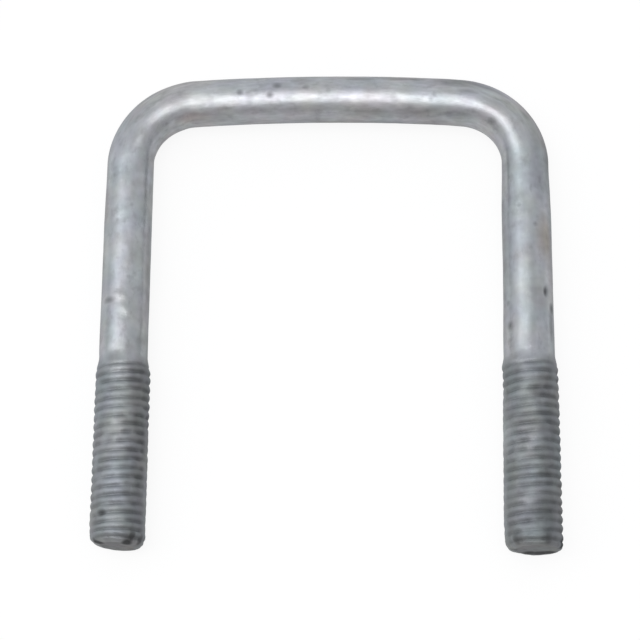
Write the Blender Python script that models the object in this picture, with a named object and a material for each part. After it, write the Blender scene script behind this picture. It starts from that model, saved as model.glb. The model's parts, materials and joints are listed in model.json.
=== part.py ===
"""Square-bend U-bolt of galvanised round bar, in metres with +Z up.

The bolt lies level. Its crown is at +Y, its two threaded legs point to -Y,
and the crests of the threads touch z = 0.
"""

import math

import bmesh
import bpy
from mathutils import Matrix, Vector

MM = 0.001

# Bar and bends
BLANK_DIAMETER = 8.45 * MM
ZINC_COAT = 0.1 * MM
INSIDE_WIDTH = 63.5 * MM
INSIDE_LENGTH = 80.6 * MM
BEND_INSIDE_RADIUS = 7.94 * MM
CROWN_BOW = 0.72 * MM

# Rolled 60 degree thread, right-hand on both legs
THREAD_DIAMETER = 9.525 * MM
THREAD_PITCH = 25.4 / 16 * MM
THREAD_LENGTH = 33.34 * MM
RUN_OUT_LENGTH = 1.2 * MM
TIP_DIAMETER = 7.6 * MM
CHAMFER_LENGTH = 1.7 * MM
LEFT_THREAD_TURN = math.radians(225)
RIGHT_THREAD_TURN = math.radians(195)

# Facets
RING_SEGMENTS = 24
BEND_STEPS = 10
CROWN_STEPS = 8
MERGE_DISTANCE = 0.01 * MM

# Proportions of the 60 degree thread form, in pitches
ROOT_FLAT = 1 / 4
FLANK = 5 / 16
CREST_FLAT = 1 / 8
THREAD_DEPTH = FLANK / math.tan(math.radians(30)) * THREAD_PITCH

SHANK_RADIUS = BLANK_DIAMETER / 2 + ZINC_COAT
CREST_RADIUS = THREAD_DIAMETER / 2 + ZINC_COAT
ROOT_RADIUS = CREST_RADIUS - THREAD_DEPTH
TIP_RADIUS = TIP_DIAMETER / 2

LEG_X = INSIDE_WIDTH / 2 + SHANK_RADIUS
CROWN_Y = INSIDE_LENGTH / 2
END_Y = CROWN_Y - SHANK_RADIUS - INSIDE_LENGTH
THREAD_TOP_Y = END_Y + THREAD_LENGTH
SHANK_END_Y = THREAD_TOP_Y + THREAD_PITCH
AXIS_Z = CREST_RADIUS


def clear_scene():
    for item in list(bpy.data.objects):
        bpy.data.objects.remove(item, do_unlink=True)


def edges_of(geometry):
    return [item for item in geometry if isinstance(item, bmesh.types.BMEdge)]


def rim_at(bm, axis, value):
    """Open edges whose two ends lie at one coordinate."""
    return [
        edge
        for edge in bm.edges
        if edge.is_boundary and all(abs(vert.co[axis] - value) < MERGE_DISTANCE for vert in edge.verts)
    ]


def extrude_ring(bm, ring, offset):
    made = bmesh.ops.extrude_edge_only(bm, edges=ring)["geom"]
    verts = [item for item in made if isinstance(item, bmesh.types.BMVert)]
    bmesh.ops.translate(bm, verts=verts, vec=offset)
    return [edge for edge in edges_of(made) if all(vert in verts for vert in edge.verts)]


def spin_ring(bm, ring, centre, angle, steps):
    made = bmesh.ops.spin(
        bm, geom=ring, cent=centre, axis=(0, 0, 1), angle=angle, steps=steps, use_duplicate=False
    )
    return edges_of(made["geom_last"])


def add_bar(bm):
    """Sweep a ring up the right leg, round both bends and down the left leg."""
    bend_radius = BEND_INSIDE_RADIUS + SHANK_RADIUS
    bend_x = LEG_X - bend_radius
    crown_radius = (bend_x**2 + CROWN_BOW**2) / (2 * CROWN_BOW)
    crown_centre = Vector((0, CROWN_Y - crown_radius, AXIS_Z))
    bend_angle = math.acos(bend_x / (crown_radius - bend_radius))
    bend_y = crown_centre.y + (crown_radius - bend_radius) * math.sin(bend_angle)
    leg_rise = Vector((0, bend_y - SHANK_END_Y, 0))

    ring_place = Matrix.Translation((LEG_X, SHANK_END_Y, AXIS_Z)) @ Matrix.Rotation(math.radians(90), 4, "X")
    circle = bmesh.ops.create_circle(bm, segments=RING_SEGMENTS, radius=SHANK_RADIUS, matrix=ring_place)
    ring = list({edge for vert in circle["verts"] for edge in vert.link_edges})
    ring = extrude_ring(bm, ring, leg_rise)
    ring = spin_ring(bm, ring, (bend_x, bend_y, AXIS_Z), bend_angle, BEND_STEPS)
    ring = spin_ring(bm, ring, crown_centre, math.pi - 2 * bend_angle, CROWN_STEPS)
    ring = spin_ring(bm, ring, (-bend_x, bend_y, AXIS_Z), bend_angle, BEND_STEPS)
    extrude_ring(bm, ring, -leg_rise)


def thread_radius(radius, height):
    """Radius after the run-out at the shank and the chamfer at the tip."""
    run_out = min(1, (THREAD_LENGTH - height) / RUN_OUT_LENGTH)
    chamfer = min(1, height / CHAMFER_LENGTH)
    blended = SHANK_RADIUS + (radius - SHANK_RADIUS) * run_out
    return min(blended, TIP_RADIUS + (CREST_RADIUS - TIP_RADIUS) * chamfer)


def thread_mesh():
    """One threaded leg end about local Z, its flat tip at z = 0 and its upper rim open."""
    tooth = (
        (ROOT_RADIUS, 0),
        (ROOT_RADIUS, ROOT_FLAT),
        (CREST_RADIUS, ROOT_FLAT + FLANK),
        (CREST_RADIUS, ROOT_FLAT + FLANK + CREST_FLAT),
        (ROOT_RADIUS, 1),
    )
    turns = math.ceil(THREAD_LENGTH / THREAD_PITCH) + 2
    bm = bmesh.new()
    verts = [bm.verts.new((radius, 0, (height - 1) * THREAD_PITCH)) for radius, height in tooth]
    profile = [bm.edges.new(pair) for pair in zip(verts, verts[1:])]
    bmesh.ops.spin(
        bm,
        geom=verts + profile,
        axis=(0, 0, 1),
        dvec=(0, 0, THREAD_PITCH / RING_SEGMENTS),
        angle=math.tau * turns,
        steps=RING_SEGMENTS * turns,
        use_duplicate=False,
    )
    bmesh.ops.remove_doubles(bm, verts=bm.verts, dist=MERGE_DISTANCE)
    for height, direction in ((0, -1), (THREAD_LENGTH, 1)):
        bmesh.ops.bisect_plane(
            bm,
            geom=bm.verts[:] + bm.edges[:] + bm.faces[:],
            plane_co=(0, 0, height),
            plane_no=(0, 0, direction),
            clear_outer=True,
        )
    for vert in bm.verts:
        radius = vert.co.xy.length
        vert.co.xy *= thread_radius(radius, vert.co.z) / radius
    bmesh.ops.remove_doubles(bm, verts=bm.verts, dist=MERGE_DISTANCE)
    bmesh.ops.edgeloop_fill(bm, edges=rim_at(bm, 2, 0))
    mesh = bpy.data.meshes.new("thread")
    bm.to_mesh(mesh)
    bm.free()
    return mesh


def add_thread(bm, leg_x, turn):
    """Set a threaded end on a leg and close it onto the shank."""
    mesh = thread_mesh()
    place = Matrix.Translation((leg_x, END_Y, AXIS_Z)) @ Matrix.Rotation(math.radians(-90), 4, "X")
    mesh.transform(place @ Matrix.Rotation(turn, 4, "Z"))
    bm.from_mesh(mesh)
    bpy.data.meshes.remove(mesh)
    rims = rim_at(bm, 1, THREAD_TOP_Y) + rim_at(bm, 1, SHANK_END_Y)
    leg_rims = [edge for edge in rims if edge.verts[0].co.x * leg_x > 0]
    bmesh.ops.bridge_loops(bm, edges=leg_rims)


def zinc_material():
    material = bpy.data.materials.new("galvanised_zinc")
    material.use_nodes = True
    shader = material.node_tree.nodes["Principled BSDF"]
    shader.inputs["Base Color"].default_value = (0.36, 0.38, 0.40, 1)
    shader.inputs["Metallic"].default_value = 0.9
    shader.inputs["Roughness"].default_value = 0.42
    return material


def build_u_bolt(collection):
    bm = bmesh.new()
    add_bar(bm)
    add_thread(bm, LEG_X, RIGHT_THREAD_TURN)
    add_thread(bm, -LEG_X, LEFT_THREAD_TURN)
    bmesh.ops.recalc_face_normals(bm, faces=bm.faces)
    mesh = bpy.data.meshes.new("u_bolt")
    bm.to_mesh(mesh)
    bm.free()
    mesh.shade_smooth()
    mesh.set_sharp_from_angle(angle=math.radians(30))
    mesh.materials.append(zinc_material())
    collection.objects.link(bpy.data.objects.new("u_bolt", mesh))


def main():
    clear_scene()
    collection = bpy.data.collections.new("square_u_bolt")
    bpy.context.scene.collection.children.link(collection)
    build_u_bolt(collection)


main()
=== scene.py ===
"""Looks of the square-bend U-bolt: a galvanised bar with zinc-filled threads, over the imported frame."""

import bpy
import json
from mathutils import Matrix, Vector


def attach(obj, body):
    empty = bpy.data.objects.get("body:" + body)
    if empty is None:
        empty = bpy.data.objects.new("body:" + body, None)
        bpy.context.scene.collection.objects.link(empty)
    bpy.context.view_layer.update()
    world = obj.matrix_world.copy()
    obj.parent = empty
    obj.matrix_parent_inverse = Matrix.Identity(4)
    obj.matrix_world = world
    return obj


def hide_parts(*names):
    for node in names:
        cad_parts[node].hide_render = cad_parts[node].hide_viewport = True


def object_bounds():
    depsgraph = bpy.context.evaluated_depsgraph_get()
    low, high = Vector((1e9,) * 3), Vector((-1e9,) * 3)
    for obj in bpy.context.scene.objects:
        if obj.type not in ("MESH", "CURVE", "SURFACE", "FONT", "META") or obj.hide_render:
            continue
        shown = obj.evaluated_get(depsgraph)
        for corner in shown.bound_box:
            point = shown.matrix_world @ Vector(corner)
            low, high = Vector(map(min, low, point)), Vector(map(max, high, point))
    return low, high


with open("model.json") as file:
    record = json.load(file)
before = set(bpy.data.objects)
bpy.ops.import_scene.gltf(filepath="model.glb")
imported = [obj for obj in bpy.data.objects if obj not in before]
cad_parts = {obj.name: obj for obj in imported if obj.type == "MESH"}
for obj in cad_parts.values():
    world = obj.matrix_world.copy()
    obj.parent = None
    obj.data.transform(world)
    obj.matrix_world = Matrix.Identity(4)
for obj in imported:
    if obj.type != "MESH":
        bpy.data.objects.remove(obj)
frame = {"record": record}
CAD_BOX = [list(corner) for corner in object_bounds()]

import json
import math
from collections import namedtuple

import bpy
from mathutils import Vector, noise

MM = 0.001

# Sides of the bolt, where 0 stands for its bends and crown
LEFT = -1
RIGHT = 1

Station = namedtuple("Station", "centre outward side height bend along")
ThreadedEnd = namedtuple("ThreadedEnd", "radius rise dark thread valley")
Cloud = namedtuple("Cloud", "along across seed")
Mark = namedtuple("Mark", "along turn length width rise dark")
Spot = namedtuple("Spot", "side across up size dark")
Pattern = namedtuple("Pattern", "scale detail stretch shift low high")
Lamp = namedtuple("Lamp", "name shape direction size radiance colour")

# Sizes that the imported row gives
MOUNTS = {mount["name"]: mount["pos_m"] for mount in frame["record"]["mounts"]}
LEG_X, END_Y, AXIS_Z = MOUNTS["right_leg_end"]
CREST_RADIUS = CAD_BOX[1][0] - LEG_X

# Sizes of the bar, as in the part's source
SHANK_RADIUS = 4.325 * MM
BEND_RADIUS = 7.94 * MM + SHANK_RADIUS
CROWN_BOW = 0.72 * MM
CROWN_Y = CAD_BOX[1][1] - SHANK_RADIUS
THREAD_PITCH = 25.4 / 16 * MM
THREAD_LENGTH = 33.34 * MM

# Middle line of the bar, as in the part's source
BEND_X = LEG_X - BEND_RADIUS
CROWN_RADIUS = (BEND_X**2 + CROWN_BOW**2) / (2 * CROWN_BOW)
CROWN_CENTRE_Y = CROWN_Y - CROWN_RADIUS
BEND_ANGLE = math.acos(BEND_X / (CROWN_RADIUS - BEND_RADIUS))
BEND_Y = CROWN_CENTRE_Y + (CROWN_RADIUS - BEND_RADIUS) * math.sin(BEND_ANGLE)
LEG_LENGTH = BEND_Y - END_Y
HALF_LENGTH = LEG_LENGTH + BEND_RADIUS * BEND_ANGLE + CROWN_RADIUS * (math.pi / 2 - BEND_ANGLE)

# Mesh density, and the attributes of its points
AROUND = 80
RINGS_PER_PITCH = 15
SHANK_STEP = 0.36 * MM
CAP_RINGS = 8
ATTRIBUTES = ("thread", "valley", "pit_and_shade", "stain", "side_shade", "crown")

# From here to the marks, a pair of numbers says where something starts and where it is full. The pair of a
# side holds cosines of the angle from that side. Other pairs hold heights, places along the bar or noise.

# Threads: turn of each as the photo shows it, the depth that the zinc leaves, and how round the roots are
THREAD_TURN = {LEFT: math.radians(284), RIGHT: math.radians(267)}
THREAD_DEPTH = 0.37 * MM
ROOT_ROUNDING = 0.07

# Heights of a thread's upper end: the neck flares from its top to the foot of the run-out
NECK_TOP = THREAD_LENGTH + 1.7 * MM
RUN_OUT_FOOT = THREAD_LENGTH - 1.9 * MM
GROOVE_TOP = (THREAD_LENGTH + 0.4 * MM, THREAD_LENGTH - 1.4 * MM)
NECK_SHADE_FOOT = THREAD_LENGTH + 0.2 * MM

# Painted shade of the threads, over their darker zinc: its strength, how far above its groove the painted
# dark reaches, and how much less of the shade filled places have
THREAD_SHADE = {LEFT: 0.77, RIGHT: 0.92}
SHADE_SHIFT = 0.13 * THREAD_PITCH
FILL_RELIEF = 0.3

# Zinc that fills the grooves, as shares of their depth: everywhere, in clouds, up the inner side, low on the
# left leg's outer side, and at the tip
FILL_LEAST = 0.1
FILL_CLOUDS = ((0.3, Cloud(0.25, 0.33, 7), (-0.3, 0.5)), (0.35, Cloud(0.6, 0.6, 17), (-0.1, 0.5)))
INNER_FILL = 0.85
INNER_FILL_SIDE = (0.84, 0.99)
INNER_FILL_TOP = {LEFT: 24 * MM, RIGHT: 31 * MM}
INNER_FILL_FADE = 4 * MM
OUTER_FILL = {LEFT: 0.8, RIGHT: 0}
OUTER_FILL_SIDE = (0.75, 0.95)
OUTER_FILL_TOP = (8 * MM, 5 * MM)
TIP_FILL_FADE = (0.2 * MM, 1.1 * MM)

# Leg ends: radius of the flat, length of the rounding, the right leg's bevel on its inner side and the
# length that it adds for its depth, mean cut and its slant up the outer side, how far up the cut shows, how
# rough and dark the ends are, and the share of a spot that is fully dark
TIP_RADIUS = {LEFT: 3.3 * MM, RIGHT: 4.1 * MM}
TIP_LENGTH = {LEFT: 2.2 * MM, RIGHT: 1.4 * MM}
TIP_BEVEL = {LEFT: 0, RIGHT: 0.7 * MM}
BEVEL_SIDE = (-0.2, 0.8)
BEVEL_LENGTH = 1.6
TIP_CUT = {LEFT: 0.57 * MM, RIGHT: -0.1 * MM}
TIP_SLANT = {LEFT: 0.30 * MM, RIGHT: 0}
TIP_REACH = 5 * MM
TIP_FADE = (1 * MM, 3 * MM)
TIP_ROUGHNESS = 0.16 * MM
TIP_CLOUD = Cloud(1.5, 1.2, 37)
TIP_DARK = 0.25
TIP_DARK_CLOUD = Cloud(1.1, 1.1, 41)
TIP_DARK_RANGE = (0, 0.5)
SPOT_CORE = 0.3

# Cut faces of the leg ends: roughness and dome in millimetres, how fine the roughness and the dark patches
# are, and the faces' attributes
CAP_ROUGHNESS = 0.10
CAP_DOME = 0.05
CAP_GRAIN = 0.8
CAP_DARK_GRAIN = 0.9
CAP_DARK_SHIFT = Vector((3, 5, 7))
# The cut faces take some of the painted shade of the grooves and of the sides
CAP_LOOKS = {"thread": 1, "valley": 0.1, "stain": 0.3, "side_shade": 0.3}

# Bends: flattened on the outer, the inner and the upper inner side, and skewed from a place on the crown to
# the leg, which pulls in the outer shoulders and fills the inner ones
BEND_FLAT_OUTSIDE = 0.1 * MM
BEND_FLAT_INSIDE = 0.2 * MM
BEND_FLAT_SIDE = (0.1, 1)
BEND_FLAT_TOP = 0.06 * MM
FLAT_TOP_TURN = math.radians(118)
FLAT_TOP_SIDE = (0.85, 1)
BEND_SKEW = 0.52 * MM
SKEW_START = {LEFT: 23.5 * MM, RIGHT: 20 * MM}
SKEW_FULL = 30 * MM
SKEW_END = (44 * MM, 38 * MM)

# Zinc coat: thinner than the solid's, with lumps whose heights are in millimetres, and crests worn in places
THIN_COAT = 0.07 * MM
COAT_LUMPS = ((0.028, Cloud(0.16, 0.35, 0)), (0.018, Cloud(0.4, 0.8, 3)), (0.008, Cloud(0.9, 1.5, 5)))
THREAD_LUMPS = ((0.045, Cloud(0.8, 0.9, 23)), (0.015, Cloud(2.2, 2, 29)))
CREST_WEAR = 0.06 * MM
CREST_WEAR_CLOUD = Cloud(0.5, 0.4, 11)
CREST_WEAR_RANGE = (0, 0.6)

# More zinc on the left leg: a run down the thread's inner side and one down the shank's outer side
RUN_SIDE = (0.2, 0.9)
SHANK_ZINC_TOP = (LEG_LENGTH, 60 * MM)
LEFT_INNER_RUN = 0.05 * MM
LEFT_INNER_FOOT = (22 * MM, 26 * MM)
LEFT_INNER_FADE = (31 * MM, 33 * MM)
LEFT_OUTER_RUN = 0.13 * MM
LEFT_OUTER_FOOT = (THREAD_LENGTH, THREAD_LENGTH + 3 * MM)

# More zinc on the right leg, in millimetres: all over but for the underside, and most on the inner side,
# where the thread's run thins twice on the way up
RIGHT_SHANK_ZINC = 0.2
RIGHT_SHANK_RUN = 0.2
RIGHT_SHANK_RUN_TOP = (48 * MM, 36 * MM)
RIGHT_THREAD_ZINC = 0.12
RIGHT_THREAD_RUN = 0.22
RIGHT_RUN_LOSSES = ((0.15, (3 * MM, 22 * MM)), (0.17, (18 * MM, 29 * MM)))
RIGHT_SHANK_FOOT = (THREAD_LENGTH - 2 * MM, THREAD_LENGTH)
RIGHT_UPPER_SIDE = (-0.9, -0.3)

# Painted shade on the sides of the bar that face right, front and down, away from the lamps: the direction
# that they face, how nearly a point has to face that way and how much less on a thread, its strength, and
# less of it on a stretch round the left bend, in millimetres, and on the threads' right edges
SHADED_SIDE = Vector((0.8, -0.62, -0.2))
SIDE_SHADE_START = 0.3
SIDE_SHADE_FULL = 0.75
THREAD_SIDE_SHADE_START = 0.65
THREAD_SIDE_SHADE_FULL = 0.37
SIDE_SHADE_SHARE = 0.66
THREAD_SIDE_SHADE_SHARE = 0.2
CLEAR_SHARE = 0.3
CLEAR_FROM_LEG = (-64, -48)
CLEAR_FROM_CROWN = (0, -20)
SIDE_SHADE_CLOUD_SHARE = 0.3
SIDE_SHADE_CLOUD = Cloud(0.5, 0.9, 31)
EDGE_RELIEF = {LEFT: 0.3, 0: 0, RIGHT: 0.6}
RELIEF_SIDE = (0.3, 0.75)

# Reach of the crown's own looks along the bar, in millimetres
CROWN_LOOKS = (44, 32)


def on_leg(side, height):
    """Place along the bar of a height above a leg end, both in millimetres."""
    return side * (HALF_LENGTH / MM - height)


def ridge(side, first, last, count, size, rise):
    """Marks in a slanted row on a leg, from one height and turn to another."""
    marks = []
    for index in range(count):
        step = index / (count - 1)
        height = first[0] + (last[0] - first[0]) * step
        turn = first[1] + (last[1] - first[1]) * step
        marks.append(Mark(on_leg(side, height), turn, size, size, rise, 0))
    return marks


# Blemishes of the zinc, and long marks that darken it, some of which paint shade: millimetres along the bar
# from the crown's middle, degrees round it from its outer side, half length and half width in millimetres,
# rise in millimetres, and how dark or, below 0, how much of the threads' dark and of the painted side shade
# they lift
CROWN_MARKS = (
    Mark(-16.0, 90, 1.1, 1.1, -0.03, 0.55),
    Mark(-10.5, 100, 1.2, 1.2, -0.03, 0.64),
    Mark(-14.3, 106, 1.6, 2.4, 0, 0.3),
    Mark(-21.5, 108, 1.4, 2.2, 0, 0.25),
    Mark(-9.2, 74, 1.5, 1.2, -0.03, 0.5),
    Mark(-3.9, 81, 1.2, 1.0, -0.02, 0.35),
    Mark(0.2, 90, 1.0, 1.0, -0.02, 0.3),
    Mark(12.3, 108, 1.4, 1.8, -0.01, 0.3),
    Mark(19.6, 97, 0.9, 1.1, -0.015, 0.4),
    Mark(19.0, 108, 0.9, 1.1, -0.015, 0.4),
    Mark(18.6, 152, 1.0, 0.8, -0.03, 0.4),
    Mark(18.7, 138, 1.5, 0.9, -0.02, 0.3),
    # The next four long marks darken the crown's lower inner side
    Mark(8.0, 152, 9.0, 2.2, 0, 0.36),
    Mark(16.5, 149, 9.0, 2.4, 0, 0.38),
    Mark(25.0, 149, 7.0, 2.2, 0, 0.36),
    Mark(-22.0, 158, 9.0, 2.2, 0, 0.3),
    Mark(-2.0, 142, 3.0, 0.7, 0, 0.2),
    Mark(-18.7, 128, 4.0, 0.6, 0, 0.3),
    # The next four long marks darken the crown's upper outer side, by its highlight
    Mark(24.5, 46, 11, 2.0, 0, 0.42),
    Mark(22.5, 57, 10, 1.9, 0, 0.42),
    Mark(14.0, 47, 9.0, 1.2, 0, 0.38),
    Mark(6.0, 50, 7.0, 1.2, 0, 0.3),
    Mark(25.5, 82, 3.5, 1.2, 0, 0.3),
    Mark(-24.5, 106, 6.5, 2.4, -0.08, 0),
    Mark(-24.5, 141, 2.6, 1.4, 0, 0.22),
)
BEND_MARKS = (
    Mark(27.0, 160, 5.0, 1.8, 0, 0.28),
    Mark(32.7, 131, 2.0, 1.2, -0.03, 0.4),
    Mark(41.0, 37, 13, 5.0, 0, 0.36),
    Mark(36.0, 45, 2.5, 1.6, 0, 0.42),
    Mark(39.0, 48, 2.5, 1.5, 0, 0.38),
    # The next two marks paint shade over a line of highlight on the left bend
    Mark(-40.0, 97, 4.5, 1.6, 0, 0.32),
    Mark(-36.5, 107, 3.5, 1.4, 0, 0.27),
    Mark(-28.5, 143, 3.0, 1.6, 0, 0.24),
)
LEFT_LEG_MARKS = (
    Mark(on_leg(LEFT, 22.2), 95, 1.8, 1.8, 0, 0.32),
    Mark(on_leg(LEFT, 26.5), 116, 1.6, 1.4, 0, 0.24),
    Mark(on_leg(LEFT, 19.2), 74, 2.4, 2.0, 0, 0.22),
    Mark(on_leg(LEFT, 21.5), 22, 3.0, 2.2, 0, -0.5),
    Mark(on_leg(LEFT, 3.5), 22, 4.0, 2.2, 0, -0.4),
    Mark(on_leg(LEFT, 31.0), 92, 1.8, 2.0, 0, -0.35),
    Mark(on_leg(LEFT, 33.8), 72, 3.0, 2.6, 0, 0.3),
    Mark(on_leg(LEFT, 36.6), 140, 4.2, 2.2, 0, 0.27),
    Mark(on_leg(LEFT, 43.0), 74, 2.2, 1.8, 0, 0.2),
    # This long mark paints shade along the left leg's inner edge
    Mark(on_leg(LEFT, 57.0), 157, 27, 1.8, 0, 0.29),
    Mark(on_leg(LEFT, 9.7), 110, 2.4, 1.6, 0, 0.26),
    Mark(on_leg(LEFT, 45.2), 80, 1.4, 1.8, 0.09, 0),
    Mark(on_leg(LEFT, 44.6), 52, 1.1, 2.4, -0.07, 0.5),
    *ridge(LEFT, (43.6, 84), (41.9, 107), 5, 1.0, 0.03),
    Mark(on_leg(LEFT, 59.8), 68, 0.8, 0.8, -0.02, 0.3),
    Mark(on_leg(LEFT, 62.6), 103, 0.8, 0.8, -0.02, 0.3),
    Mark(on_leg(LEFT, 48.8), 102, 0.8, 0.8, -0.02, 0.3),
    Mark(on_leg(LEFT, 5.5), 60, 1.1, 1.3, -0.05, 0.75),
)
RIGHT_LEG_MARKS = (
    Mark(on_leg(RIGHT, 26.7), 84, 2.4, 2.6, 0, 0.4),
    Mark(on_leg(RIGHT, 67.0), 52, 9.0, 4.5, 0, 0.27),
    Mark(on_leg(RIGHT, 6.2), 78, 5.8, 4.5, 0, 0.4),
    Mark(on_leg(RIGHT, 9.8), 112, 3.2, 2.2, 0, 0.3),
    Mark(on_leg(RIGHT, 3.9), 95, 2.4, 3.0, 0, 0.38),
    Mark(on_leg(RIGHT, 19.8), 160, 4.0, 2.8, 0, -0.6),
    Mark(on_leg(RIGHT, 45.0), 30, 4.0, 2.2, 0, -0.7),
    Mark(on_leg(RIGHT, 46.6), 60, 2.6, 1.6, 0.03, -0.8),
    Mark(on_leg(RIGHT, 40.0), 33, 5.0, 1.1, 0, 0.45),
    Mark(on_leg(RIGHT, 31.6), 62, 2.0, 1.8, 0, -0.3),
    Mark(on_leg(RIGHT, 25.0), 62, 2.4, 1.6, 0, -0.25),
    Mark(on_leg(RIGHT, 20.0), 48, 2.6, 1.8, 0, 0.26),
    Mark(on_leg(RIGHT, 25.6), 108, 2.0, 1.8, 0, 0.26),
    # This long mark paints shade over the right side of the right leg's highlight
    Mark(on_leg(RIGHT, 50.0), 84, 22, 1.7, 0, 0.22),
    Mark(on_leg(RIGHT, 38.5), 88, 7.0, 1.6, 0, 0.26),
    Mark(on_leg(RIGHT, 39.5), 121, 7.0, 1.3, 0, 0.21),
    # This long mark paints shade along the right leg's inner edge
    Mark(on_leg(RIGHT, 55.0), 159, 32, 2.5, 0, 0.3),
    Mark(on_leg(RIGHT, 19.8), 72, 2.4, 2.4, 0, 0.3),
    Mark(on_leg(RIGHT, 45.9), 51, 1.6, 0.8, -0.2, 0.8),
    Mark(on_leg(RIGHT, 46.0), 51, 3.2, 2.1, 0.045, 0),
    Mark(on_leg(RIGHT, 62.2), 111, 0.8, 0.8, -0.02, 0.35),
    Mark(on_leg(RIGHT, 58.5), 73, 0.9, 0.8, -0.02, 0.4),
    Mark(on_leg(RIGHT, 44.1), 147, 1.2, 1.0, -0.02, 0.4),
    Mark(on_leg(RIGHT, 39.6), 141, 1.6, 1.2, -0.02, 0.46),
    Mark(on_leg(RIGHT, 43.1), 27, 1.8, 1.3, -0.05, 0.7),
    Mark(on_leg(RIGHT, 0.7), 8, 0.9, 1.2, 0.15, 0.4),
)
MARKS = CROWN_MARKS + BEND_MARKS + LEFT_LEG_MARKS + RIGHT_LEG_MARKS

# Brown stains, given like the blemishes
STAINS = (
    Mark(on_leg(RIGHT, 56.4), 47, 6.0, 2.8, 0, 1.0),
    Mark(on_leg(LEFT, 0), 90, 2.0, 9.0, 0, 0.35),
    Mark(on_leg(RIGHT, 0), 90, 1.8, 9.0, 0, 0.35),
    Mark(-26.0, 150, 5.0, 2.0, 0, 0.6),
)

# Dark spots of the cut leg ends: side, millimetres across and up from the end's middle, half width in
# millimetres, and how dark
SPOTS = (
    Spot(LEFT, -3.0, 1.5, 1.4, 0.95),
    Spot(LEFT, 2.0, 2.9, 1.35, 0.9),
    Spot(LEFT, 3.0, 3.5, 0.9, 0.7),
    Spot(LEFT, 4.2, 1.6, 1.0, 0.6),
    Spot(RIGHT, -0.7, -2.2, 2.0, 0.8),
    Spot(RIGHT, 1.0, -2.2, 2.1, 0.9),
    Spot(RIGHT, 2.6, -1.8, 1.8, 0.8),
    Spot(RIGHT, 4.5, 1.2, 0.9, 0.8),
    Spot(RIGHT, 2.2, 4.5, 1.0, 0.4),
    Spot(RIGHT, -3.2, 3.4, 1.1, 0.5),
    Spot(RIGHT, -3.4, 0.2, 0.9, 0.4),
)


def smooth(value, low, high):
    """Ease from 0 at low to 1 at high."""
    share = min(1, max(0, (value - low) / (high - low)))
    return share * share * (3 - 2 * share)


def spread(low, high, step):
    """Even values from low to high, both ends included, about one step apart."""
    count = max(1, round(abs(high - low) / step))
    return [low + (high - low) * index / count for index in range(count + 1)]


def cloud(place, kind):
    """Smooth noise from -1 to 1, with its own scales along and across the bar."""
    return noise.noise((place.x * kind.along + kind.seed, place.y * kind.across, place.z * kind.across))


def lumps(place, kinds):
    """Height of the zinc's lumps at a place, in millimetres."""
    return sum(height * cloud(place, kind) for height, kind in kinds)


def bar_stations():
    """The rings' places from the left leg end to the right one."""
    heights = spread(0, THREAD_LENGTH, THREAD_PITCH / RINGS_PER_PITCH)
    heights += spread(THREAD_LENGTH, LEG_LENGTH, SHANK_STEP)[1:]
    bend_angles = spread(0, BEND_ANGLE, SHANK_STEP / BEND_RADIUS)[1:]
    crown_angles = spread(math.pi - BEND_ANGLE, math.pi / 2, SHANK_STEP / CROWN_RADIUS)[1:]
    left = []
    for height in heights:
        centre = Vector((-LEG_X, END_Y + height, AXIS_Z))
        left.append(Station(centre, Vector((-1, 0, 0)), LEFT, height, 0, height - HALF_LENGTH))
    for angle in bend_angles:
        outward = Vector((-math.cos(angle), math.sin(angle), 0))
        centre = Vector((-BEND_X, BEND_Y, AXIS_Z)) + outward * BEND_RADIUS
        bend = math.sin(math.pi * angle / BEND_ANGLE)
        along = LEG_LENGTH + BEND_RADIUS * angle - HALF_LENGTH
        left.append(Station(centre, outward, 0, LEG_LENGTH, bend, along))
    for angle in crown_angles:
        outward = Vector((math.cos(angle), math.sin(angle), 0))
        centre = Vector((0, CROWN_CENTRE_Y, AXIS_Z)) + outward * CROWN_RADIUS
        left.append(Station(centre, outward, 0, LEG_LENGTH, 0, CROWN_RADIUS * (math.pi / 2 - angle)))
    mirror = Vector((-1, 1, 1))
    right = [
        Station(at.centre * mirror, at.outward * mirror, -at.side, at.height, at.bend, -at.along)
        for at in reversed(left[:-1])
    ]
    return left + right


def tooth_share(side, height, turn):
    """How far a point of the thread is from root, 0, to crest, 1."""
    angle = turn + math.pi if side == LEFT else -turn
    from_crest = height / THREAD_PITCH - (angle - THREAD_TURN[side]) / math.tau
    rounded = math.hypot(math.cos(math.pi * from_crest), ROOT_ROUNDING)
    return (rounded - ROOT_ROUNDING) / (math.hypot(1, ROOT_ROUNDING) - ROOT_ROUNDING)


def tip_radius(side, height, turn):
    """Radius of the thread's crests, which the leg end rounds off."""
    bevel = TIP_BEVEL[side] * smooth(-math.cos(turn), *BEVEL_SIDE)
    share = min(1, height / (TIP_LENGTH[side] + BEVEL_LENGTH * bevel))
    flat = TIP_RADIUS[side] - bevel
    return flat + (CREST_RADIUS - flat) * math.sqrt(1 - (1 - share) ** 2)


def tip_shift(side, height, outer_share):
    """How far the slanted cut of a leg end moves a point up the leg."""
    return (TIP_CUT[side] + TIP_SLANT[side] * outer_share) * (1 - smooth(height, 0, TIP_REACH))


def zinc_fill(side, height, turn, place):
    """Share of the thread's depth that zinc has filled."""
    patches = FILL_LEAST
    for share, kind, cloud_range in FILL_CLOUDS:
        patches += share * smooth(cloud(place, kind), *cloud_range)
    inner = smooth(-math.cos(turn), *INNER_FILL_SIDE)
    inner *= 1 - smooth(height, INNER_FILL_TOP[side] - INNER_FILL_FADE, INNER_FILL_TOP[side])
    outer = smooth(math.cos(turn), *OUTER_FILL_SIDE) * smooth(height, *OUTER_FILL_TOP)
    tip = 1 - smooth(height, *TIP_FILL_FADE)
    return max(patches, INNER_FILL * inner, OUTER_FILL[side] * outer, tip)


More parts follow.
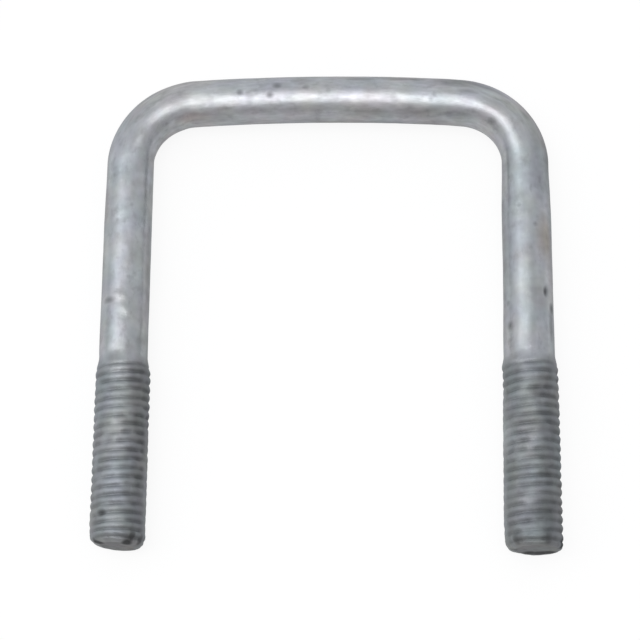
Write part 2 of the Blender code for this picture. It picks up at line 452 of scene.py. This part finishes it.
def left_zinc(height, turn):
    """Zinc above the even coat on the left leg."""
    inner_run = LEFT_INNER_RUN * smooth(-math.cos(turn), *RUN_SIDE) * smooth(height, *LEFT_INNER_FOOT)
    inner_run *= 1 - smooth(height, *LEFT_INNER_FADE)
    outer = smooth(math.cos(turn), *RUN_SIDE) * smooth(height, *LEFT_OUTER_FOOT)
    return inner_run + LEFT_OUTER_RUN * outer * smooth(height, *SHANK_ZINC_TOP)


def right_zinc(height, turn):
    """Zinc above the even coat on the right leg."""
    inner = smooth(-math.cos(turn), *RUN_SIDE)
    shank = RIGHT_SHANK_ZINC + RIGHT_SHANK_RUN * inner * smooth(height, *RIGHT_SHANK_RUN_TOP)
    shank *= smooth(height, *SHANK_ZINC_TOP)
    run = RIGHT_THREAD_RUN
    for loss, height_range in RIGHT_RUN_LOSSES:
        run -= loss * smooth(height, *height_range)
    thread = RIGHT_THREAD_ZINC + inner * run
    coat = thread + (shank - thread) * smooth(height, *RIGHT_SHANK_FOOT)
    return coat * MM * smooth(math.sin(turn), *RIGHT_UPPER_SIDE)


def bend_loss(at, turn):
    """How far bending pulls in the bar's surface or, below 0, fills it out."""
    flat = BEND_FLAT_OUTSIDE * smooth(math.cos(turn), *BEND_FLAT_SIDE)
    flat += BEND_FLAT_INSIDE * smooth(-math.cos(turn), *BEND_FLAT_SIDE)
    flat += BEND_FLAT_TOP * smooth(math.cos(turn - FLAT_TOP_TURN), *FLAT_TOP_SIDE)
    distance = abs(at.along)
    start = SKEW_START[math.copysign(1, at.along)]
    skew = BEND_SKEW * smooth(distance, start, SKEW_FULL) * smooth(distance, *SKEW_END)
    return at.bend * flat + skew * 2 * math.sin(turn) ** 2 * math.cos(turn)


def mark_share(mark, along, turn):
    """How strongly a mark shows at a point, 1 at its middle and 0 beyond its edge."""
    around = (math.degrees(turn) - mark.turn + 180) % 360 - 180
    across = math.radians(around) * SHANK_RADIUS / MM / mark.width
    distance = ((along - mark.along) / mark.length) ** 2 + across**2
    return max(0, 1 - distance) ** 2


def spot_share(side, across, up):
    """How dark the spots make a point of a leg end, given in metres from the end's middle."""
    dark = 0
    for spot in SPOTS:
        distance = math.hypot(across / MM - spot.across, up / MM - spot.up) / spot.size
        if spot.side == side and distance < 1:
            dark = max(dark, spot.dark * smooth(distance, 1, SPOT_CORE))
    return dark


def threaded_end(at, turn, place, radius):
    """What a threaded leg end makes of a point that has this radius on the plain bar."""
    flare = smooth(at.height, NECK_TOP, RUN_OUT_FOOT)
    cut = smooth(at.height, *GROOVE_TOP)
    fill = zinc_fill(at.side, at.height, turn, place)
    wear = CREST_WEAR * smooth(cloud(place, CREST_WEAR_CLOUD), *CREST_WEAR_RANGE)
    crest = tip_radius(at.side, at.height, turn) - wear
    groove = 1 - tooth_share(at.side, at.height, turn)
    radius += (crest - radius) * flare - groove * (1 - fill) * cut * THREAD_DEPTH
    tip = 1 - smooth(at.height, *TIP_FADE)
    radius += tip * TIP_ROUGHNESS * cloud(place, TIP_CLOUD)
    dark = TIP_DARK * tip * smooth(cloud(place, TIP_DARK_CLOUD), *TIP_DARK_RANGE)
    if tip:
        spots = spot_share(at.side, at.side * radius * math.cos(turn), radius * math.sin(turn))
        dark = max(dark, tip * spots)
    shade = (smooth(at.height, NECK_TOP, NECK_SHADE_FOOT) + cut) / 2
    thread = THREAD_SHADE[at.side] * shade * (1 - FILL_RELIEF * fill * (1 - tip))
    # Painted shade of the grooves, which reaches a little above each
    groove_shade = max(groove, 1 - tooth_share(at.side, at.height - SHADE_SHIFT, turn))
    valley = groove_shade * (1 - fill) * cut
    return ThreadedEnd(radius, flare * lumps(place, THREAD_LUMPS), dark, thread, valley)


def painted_side_shade(at, facing, thread, place):
    """Strength of the painted shade at a point, by the way it faces and how much thread there is."""
    start = SIDE_SHADE_START - THREAD_SIDE_SHADE_START * thread
    full = SIDE_SHADE_FULL - THREAD_SIDE_SHADE_FULL * thread
    along = at.along / MM
    clear = smooth(along, *CLEAR_FROM_LEG) * smooth(along, *CLEAR_FROM_CROWN)
    strength = SIDE_SHADE_SHARE + THREAD_SIDE_SHADE_SHARE * thread - CLEAR_SHARE * clear
    strength += SIDE_SHADE_CLOUD_SHARE * cloud(place, SIDE_SHADE_CLOUD)
    relief = EDGE_RELIEF[at.side] * thread * smooth(facing.x, *RELIEF_SIDE)
    return smooth(facing.dot(SHADED_SIDE), start, full) * strength * (1 - relief)


def bar_point(at, turn, marks, stains):
    """One point of the bar, its attributes, and its place in the bar's own measure, in millimetres."""
    along = at.along / MM
    place = Vector((along, SHANK_RADIUS / MM * math.cos(turn), SHANK_RADIUS / MM * math.sin(turn)))
    facing = at.outward * math.cos(turn) + Vector((0, 0, math.sin(turn)))
    rise = lumps(place, COAT_LUMPS)
    dark = 0
    bright = 0
    for mark in marks:
        share = mark_share(mark, along, turn)
        rise += mark.rise * share
        dark = max(dark, mark.dark * share)
        bright = max(bright, -mark.dark * share)
    stain = max([mark.dark * mark_share(mark, along, turn) for mark in stains], default=0)
    radius = SHANK_RADIUS - THIN_COAT - bend_loss(at, turn)
    thread = 0
    valley = 0
    if at.side and at.height < NECK_TOP:
        end = threaded_end(at, turn, place, radius)
        radius = end.radius
        rise += end.rise
        dark = max(dark, end.dark)
        thread = end.thread * (1 - bright)
        valley = end.valley
    if at.side == LEFT:
        radius += left_zinc(at.height, turn)
    if at.side == RIGHT:
        radius += right_zinc(at.height, turn)
    values = {
        "thread": thread,
        # Painted shade in the grooves
        "valley": valley,
        # Dark pits, and long marks of painted shade
        "pit_and_shade": dark,
        "stain": stain,
        # Painted shade on the sides that face away from the lamps
        "side_shade": painted_side_shade(at, facing, thread, place) * (1 - bright),
        "crown": smooth(abs(along), *CROWN_LOOKS),
    }
    return at.centre + facing * (radius + rise * MM), values, place


class BarMesh:
    """Points, faces and attributes of the bar as it grows."""

    def __init__(self):
        self.points = []
        self.faces = []
        self.attributes = {name: [] for name in ATTRIBUTES}
        self.places = []

    def add_point(self, point, values, place):
        self.points.append(point)
        for name, held in self.attributes.items():
            held.append(values.get(name, 0))
        self.places.extend(place)

    def join_rings(self, first, second):
        """Quads between two rings, given by their first points."""
        for step in range(AROUND):
            following = (step + 1) % AROUND
            self.faces.append((first + step, first + following, second + following, second + step))

    def add_ring(self, at):
        along = at.along / MM
        marks = [mark for mark in MARKS if abs(mark.along - along) < mark.length]
        stains = [mark for mark in STAINS if abs(mark.along - along) < mark.length]
        for step in range(AROUND):
            turn = math.tau * step / AROUND
            point, values, place = bar_point(at, turn, marks, stains)
            if at.side:
                point.y += tip_shift(at.side, at.height, math.cos(turn))
            self.add_point(point, values, place)

    def add_cap(self, at, rim):
        """Close a leg end with a slightly rough face, ring by ring to its middle."""
        rim_points = self.points[rim : rim + AROUND]
        middle = sum(rim_points, Vector()) / AROUND
        outer = rim
        for ring in range(1, CAP_RINGS):
            share = 1 - ring / CAP_RINGS
            inner = len(self.points)
            for point in rim_points:
                flat = middle.lerp(point, share)
                rough = CAP_ROUGHNESS * noise.noise(flat / MM * CAP_GRAIN) - CAP_DOME * (1 - share)
                patches = noise.noise(flat / MM * CAP_DARK_GRAIN + CAP_DARK_SHIFT)
                spots = spot_share(at.side, flat.x - at.centre.x, flat.z - at.centre.z)
                dark = max(TIP_DARK * smooth(patches, *TIP_DARK_RANGE), spots)
                self.add_point(flat + Vector((0, rough * MM, 0)), {**CAP_LOOKS, "pit_and_shade": dark}, flat / MM)
            if at.side == LEFT:
                self.join_rings(inner, outer)
            else:
                self.join_rings(outer, inner)
            outer = inner
        self.add_point(middle - Vector((0, CAP_DOME * MM, 0)), CAP_LOOKS, middle / MM)
        for step in range(AROUND):
            corners = (outer + step, outer + (step + 1) % AROUND, len(self.points) - 1)
            self.faces.append(corners[::-1] if at.side == LEFT else corners)

    def finish(self, name):
        mesh = bpy.data.meshes.new(name)
        mesh.from_pydata(self.points, [], self.faces)
        mesh.shade_smooth()
        for attribute, values in self.attributes.items():
            mesh.attributes.new(attribute, "FLOAT", "POINT").data.foreach_set("value", values)
        mesh.attributes.new("bar_place", "FLOAT_VECTOR", "POINT").data.foreach_set("vector", self.places)
        return mesh


def bar_mesh():
    stations = bar_stations()
    bar = BarMesh()
    for at in stations:
        bar.add_ring(at)
    for index in range(len(stations) - 1):
        bar.join_rings(index * AROUND, (index + 1) * AROUND)
    bar.add_cap(stations[0], 0)
    bar.add_cap(stations[-1], (len(stations) - 1) * AROUND)
    return bar.finish("galvanised_u_bolt")


# Colours of the zinc. A tint multiplies the colour under it.
DARK_ZINC = (0.38, 0.395, 0.41, 1)
LIGHT_ZINC = (0.479, 0.50, 0.518, 1)
DARK_GRAIN_TINT = (0.87, 0.87, 0.87, 1)
LIGHT_GRAIN_TINT = (1.08, 1.08, 1.08, 1)
CROWN_TINT = (1.03, 1.01, 1.01, 1)
SMUDGE = (0.24, 0.24, 0.25, 1)
DARK_THREAD = (0.184, 0.195, 0.201, 1)
LIGHT_THREAD = (0.246, 0.263, 0.272, 1)
WARM_TINT = (1.02, 1.0, 0.97, 1)
COOL_TINT = (0.98, 1.0, 1.03, 1)
PURPLE_TINT = (1.01, 0.985, 1.015, 1)
GREEN_TINT = (0.985, 1.015, 0.99, 1)
# Colour of the painted shade in the grooves
GROOVE_SHADE_COLOUR = (0.07, 0.077, 0.08, 1)
# Tint of the painted shade on the sides that face away from the lamps
SIDE_SHADE_TINT = (0.57, 0.555, 0.56, 1)
STAIN_TINT = (0.9, 0.77, 0.67, 1)
# Colour of the dark pits and of the long marks of painted shade
PIT_AND_SHADE_COLOUR = (0.053, 0.054, 0.056, 1)
EDGE_TINT = (0.65, 0.65, 0.65, 1)

# How strongly the colours are laid on: a groove's painted shade has a plain part and one that grows with the
# painted shade of the sides
SMUDGE_SHARE = 0.42
THREAD_SHARE = 0.72
GROOVE_RANGE = (0.1, 0.7)
GROOVE_SHARE = 0.3
SIDE_SHADE_GROOVE_SHARE = 0.32
STAIN_SHARE = 0.9
PIT_AND_SHADE_RANGE = (0.1, 0.8)
PIT_AND_SHADE_SHARE = 0.9

# Noise of the looks: scale, detail, stretch along and across the bar, shift, and the values that count as 0
# and 1
CLOUD_ROUGHNESS = 0.6
ZINC_CLOUDS = Pattern(0.25, 5, (0.7, 1, 1), 0, 0.3, 0.7)
STREAKS = Pattern(1.5, 3, (0.25, 1, 1), 20, 0.32, 0.68)
BANDS = Pattern(0.5, 1.5, (1.1, 0.8, 0.8), 30, 0.25, 0.75)
SMUDGES = Pattern(0.6, 3, (0.7, 1, 1), 40, 0.55, 0.72)
THREAD_PATCHES = Pattern(0.45, 2, (1, 1, 1), 120, 0.3, 0.7)
COOL_PATCHES = Pattern(0.18, 2, (0.8, 1, 1), 60, 0.35, 0.65)
GREEN_PATCHES = Pattern(0.3, 2, (0.6, 1, 1), 80, 0.35, 0.65)
GLOSS_PATCHES = Pattern(0.5, 4, (0.9, 1, 1), 100, 0.3, 0.7)
BUMPS = Pattern(0.9, 2, (1, 1, 1), 0, 0, 1)

# Roughness of the satin zinc, least and most, and of the threads, and the fine bumps
SHANK_ROUGHNESS = (0.29, 0.36)
CROWN_ROUGHNESS = (0.40, 0.49)
THREAD_ROUGHNESS = 0.74
BUMP_STRENGTH = 0.2
BUMP_HEIGHT = 0.1 * MM


def add_node(tree, kind, values, **settings):
    """A node with its inputs set to values or linked to sockets."""
    node = tree.nodes.new(kind)
    for name, value in settings.items():
        setattr(node, name, value)
    for name, value in values.items():
        if isinstance(value, bpy.types.NodeSocket):
            tree.links.new(value, node.inputs[name])
        else:
            node.inputs[name].default_value = value
    return node


def zinc_material():
    material = bpy.data.materials.new("galvanised_zinc")
    material.use_nodes = True
    tree = material.node_tree
    shader = tree.nodes["Principled BSDF"]

    def share(value, low, high, to_low=0, to_high=1):
        values = {"Value": value, "From Min": low, "From Max": high, "To Min": to_low, "To Max": to_high}
        return add_node(tree, "ShaderNodeMapRange", values).outputs["Result"]

    def clouds(kind, to_low=0, to_high=1):
        place = add_node(tree, "ShaderNodeAttribute", {}, attribute_name="bar_place").outputs["Vector"]
        factors = {0: place, 1: kind.stretch, 2: (kind.shift, kind.shift, kind.shift)}
        moved = add_node(tree, "ShaderNodeVectorMath", factors, operation="MULTIPLY_ADD").outputs[0]
        values = {"Vector": moved, "Scale": kind.scale, "Detail": kind.detail, "Roughness": CLOUD_ROUGHNESS}
        texture = add_node(tree, "ShaderNodeTexNoise", values).outputs["Fac"]
        return share(texture, kind.low, kind.high, to_low, to_high)

    def mix(factor, first, second, blend="MIX"):
        values = {"Factor": factor, 6: first, 7: second}
        return add_node(tree, "ShaderNodeMix", values, data_type="RGBA", blend_type=blend).outputs[2]

    def between(factor, first, second):
        return add_node(tree, "ShaderNodeMix", {"Factor": factor, 2: first, 3: second}).outputs[0]

    def mark(name):
        return add_node(tree, "ShaderNodeAttribute", {}, attribute_name=name).outputs["Fac"]

    # Cloudy zinc, with streaks along the crown, bands on the legs, and smudges
    colour = mix(clouds(ZINC_CLOUDS), DARK_ZINC, LIGHT_ZINC)
    grain = between(mark("crown"), clouds(BANDS), clouds(STREAKS))
    colour = mix(1, colour, mix(grain, DARK_GRAIN_TINT, LIGHT_GRAIN_TINT), "MULTIPLY")
    colour = mix(mark("crown"), colour, CROWN_TINT, "MULTIPLY")
    colour = mix(clouds(SMUDGES, 0, SMUDGE_SHARE), colour, SMUDGE)

    # Darker threads, partly their own zinc and partly painted shade of their grooves, and slight tints over
    # all
    thread_zinc = mix(clouds(THREAD_PATCHES), DARK_THREAD, LIGHT_THREAD)
    colour = mix(share(mark("thread"), 0, 1, 0, THREAD_SHARE), colour, thread_zinc)
    colour = mix(1, colour, mix(clouds(COOL_PATCHES), WARM_TINT, COOL_TINT), "MULTIPLY")
    colour = mix(1, colour, mix(clouds(GREEN_PATCHES), PURPLE_TINT, GREEN_TINT), "MULTIPLY")

    # Painted shade in the grooves and on the sides that face away from the lamps, brown stains, and dark
    # pits with long marks of painted shade
    strengths = {0: mark("side_shade"), 1: SIDE_SHADE_GROOVE_SHARE, 2: GROOVE_SHARE}
    groove_strength = add_node(tree, "ShaderNodeMath", strengths, operation="MULTIPLY_ADD").outputs[0]
    parts = {0: share(mark("valley"), *GROOVE_RANGE), 1: groove_strength}
    groove = add_node(tree, "ShaderNodeMath", parts, operation="MULTIPLY").outputs[0]
    colour = mix(groove, colour, GROOVE_SHADE_COLOUR)
    colour = mix(mark("side_shade"), colour, SIDE_SHADE_TINT, "MULTIPLY")
    colour = mix(share(mark("stain"), 0, 1, 0, STAIN_SHARE), colour, STAIN_TINT, "MULTIPLY")
    colour = mix(share(mark("pit_and_shade"), *PIT_AND_SHADE_RANGE, 0, PIT_AND_SHADE_SHARE), colour, PIT_AND_SHADE_COLOUR)
    tree.links.new(colour, shader.inputs["Base Color"])

    # Satin metal, rougher on the crown and most on the threads
    shader.inputs["Metallic"].default_value = 1
    shader.inputs["Specular Tint"].default_value = EDGE_TINT
    shank = clouds(GLOSS_PATCHES, *SHANK_ROUGHNESS)
    crown = clouds(GLOSS_PATCHES, *CROWN_ROUGHNESS)
    roughness = between(mark("thread"), between(mark("crown"), shank, crown), THREAD_ROUGHNESS)
    tree.links.new(roughness, shader.inputs["Roughness"])
    bumps = {"Height": clouds(BUMPS), "Strength": BUMP_STRENGTH, "Distance": BUMP_HEIGHT}
    bump = add_node(tree, "ShaderNodeBump", bumps)
    tree.links.new(bump.outputs["Normal"], shader.inputs["Normal"])
    return material


def add_bolt():
    mesh = bar_mesh()
    mesh.materials.append(zinc_material())
    bolt = bpy.data.objects.new("galvanised_u_bolt", mesh)
    bpy.context.scene.collection.objects.link(bolt)
    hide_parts("u_bolt")
    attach(bolt, "root")


# Floor: width in metres, colour, glow and how much it glows
FLOOR_SIZE = 4.0
FLOOR_COLOUR = (0.93, 0.93, 0.93, 1)
FLOOR_GLOW = (1, 1, 1, 1)
FLOOR_GLOW_SHARE = 0.88

# Lamps, sized in metres and set at one distance from the bolt
LAMP_DISTANCE = 0.9
WHITE_LIGHT = (1, 1, 1)
COOL_LIGHT = (0.96, 0.98, 1)
LAMPS = (
    Lamp("overhead", "ELLIPSE", (-0.085, -0.155, 1.0), (0.62, 0.60), 3.25, WHITE_LIGHT),
    Lamp("left", "RECTANGLE", (-0.53, 0.06, 0.84), (0.56, 0.38), 1.2, COOL_LIGHT),
    Lamp("low left", "RECTANGLE", (-0.80, 0.06, 0.62), (0.56, 0.40), 0.5, COOL_LIGHT),
)

# Light from all round, from the front to the back
FRONT_LIGHT = (0.55, 0.53, 0.53, 1)
BACK_LIGHT = (0.88, 0.905, 0.93, 1)
BACK_DIRECTION = (-0.2, 1, 0)

# Camera at the photo's view: millimetres of lens, metres, and degrees
LENS = 126.478
SENSOR_WIDTH = 36
CAMERA_PLACE = (0.010049, -0.133500, 0.384413)
CAMERA_TURN = (19.0105, 1.5633, 0.3685)
CAMERA_NEAR = 0.01


def floor_material():
    """White floor that glows in part where it is seen or mirrored, which lightens its shadow."""
    material = bpy.data.materials.new("pale_floor")
    material.use_nodes = True
    tree = material.node_tree
    path = add_node(tree, "ShaderNodeLightPath", {}).outputs
    seen = path["Is Camera Ray"]
    for other in ("Is Glossy Ray", "Is Transmission Ray"):
        seen = add_node(tree, "ShaderNodeMath", {0: seen, 1: path[other]}, operation="MAXIMUM").outputs[0]
    parts = {0: seen, 1: FLOOR_GLOW_SHARE}
    glow_share = add_node(tree, "ShaderNodeMath", parts, operation="MULTIPLY").outputs[0]
    diffuse = add_node(tree, "ShaderNodeBsdfDiffuse", {"Color": FLOOR_COLOUR}).outputs[0]
    glow = add_node(tree, "ShaderNodeEmission", {"Color": FLOOR_GLOW}).outputs[0]
    mixed = add_node(tree, "ShaderNodeMixShader", {0: glow_share, 1: diffuse, 2: glow}).outputs[0]
    tree.links.new(mixed, tree.nodes["Material Output"].inputs["Surface"])
    return material


def add_floor():
    half = FLOOR_SIZE / 2
    corners = [(-half, -half, 0), (half, -half, 0), (half, half, 0), (-half, half, 0)]
    mesh = bpy.data.meshes.new("floor")
    mesh.from_pydata(corners, [], [(0, 1, 2, 3)])
    mesh.materials.append(floor_material())
    floor = bpy.data.objects.new("floor", mesh)
    bpy.context.scene.collection.objects.link(floor)


def add_lamp(lamp):
    """A lamp that faces the bolt, as bright per area as its radiance says."""
    light = bpy.data.lights.new(lamp.name, "AREA")
    light.shape = lamp.shape
    width, depth = lamp.size
    light.size = width
    light.size_y = depth
    area = width * depth * (math.pi / 4 if lamp.shape == "ELLIPSE" else 1)
    light.energy = math.pi * lamp.radiance * area
    light.color = lamp.colour
    item = bpy.data.objects.new(lamp.name, light)
    toward = Vector(lamp.direction).normalized()
    item.location = toward * LAMP_DISTANCE
    item.rotation_euler = toward.to_track_quat("Z", "Y").to_euler()
    bpy.context.scene.collection.objects.link(item)


def add_world():
    """Plain soft light, cooler and brighter from behind than from the front."""
    world = bpy.data.worlds.new("studio")
    bpy.context.scene.world = world
    world.use_nodes = True
    tree = world.node_tree
    direction = add_node(tree, "ShaderNodeTexCoord", {}).outputs["Generated"]
    vectors = {0: direction, 1: BACK_DIRECTION}
    lean = add_node(tree, "ShaderNodeVectorMath", vectors, operation="DOT_PRODUCT").outputs["Value"]
    limits = {"Value": lean, "From Min": -1, "From Max": 1}
    back = add_node(tree, "ShaderNodeMapRange", limits).outputs["Result"]
    colours = {"Factor": back, 6: FRONT_LIGHT, 7: BACK_LIGHT}
    mixed = add_node(tree, "ShaderNodeMix", colours, data_type="RGBA").outputs[2]
    tree.links.new(mixed, tree.nodes["Background"].inputs["Color"])


def add_camera():
    camera = bpy.data.cameras.new("camera")
    camera.lens = LENS
    camera.sensor_width = SENSOR_WIDTH
    camera.clip_start = CAMERA_NEAR
    item = bpy.data.objects.new("camera", camera)
    item.location = CAMERA_PLACE
    item.rotation_euler = [math.radians(angle) for angle in CAMERA_TURN]
    bpy.context.scene.collection.objects.link(item)
    bpy.context.scene.camera = item


add_bolt()
add_floor()
for each_lamp in LAMPS:
    add_lamp(each_lamp)
add_world()
add_camera()
bpy.context.scene.view_settings.view_transform = "Standard"
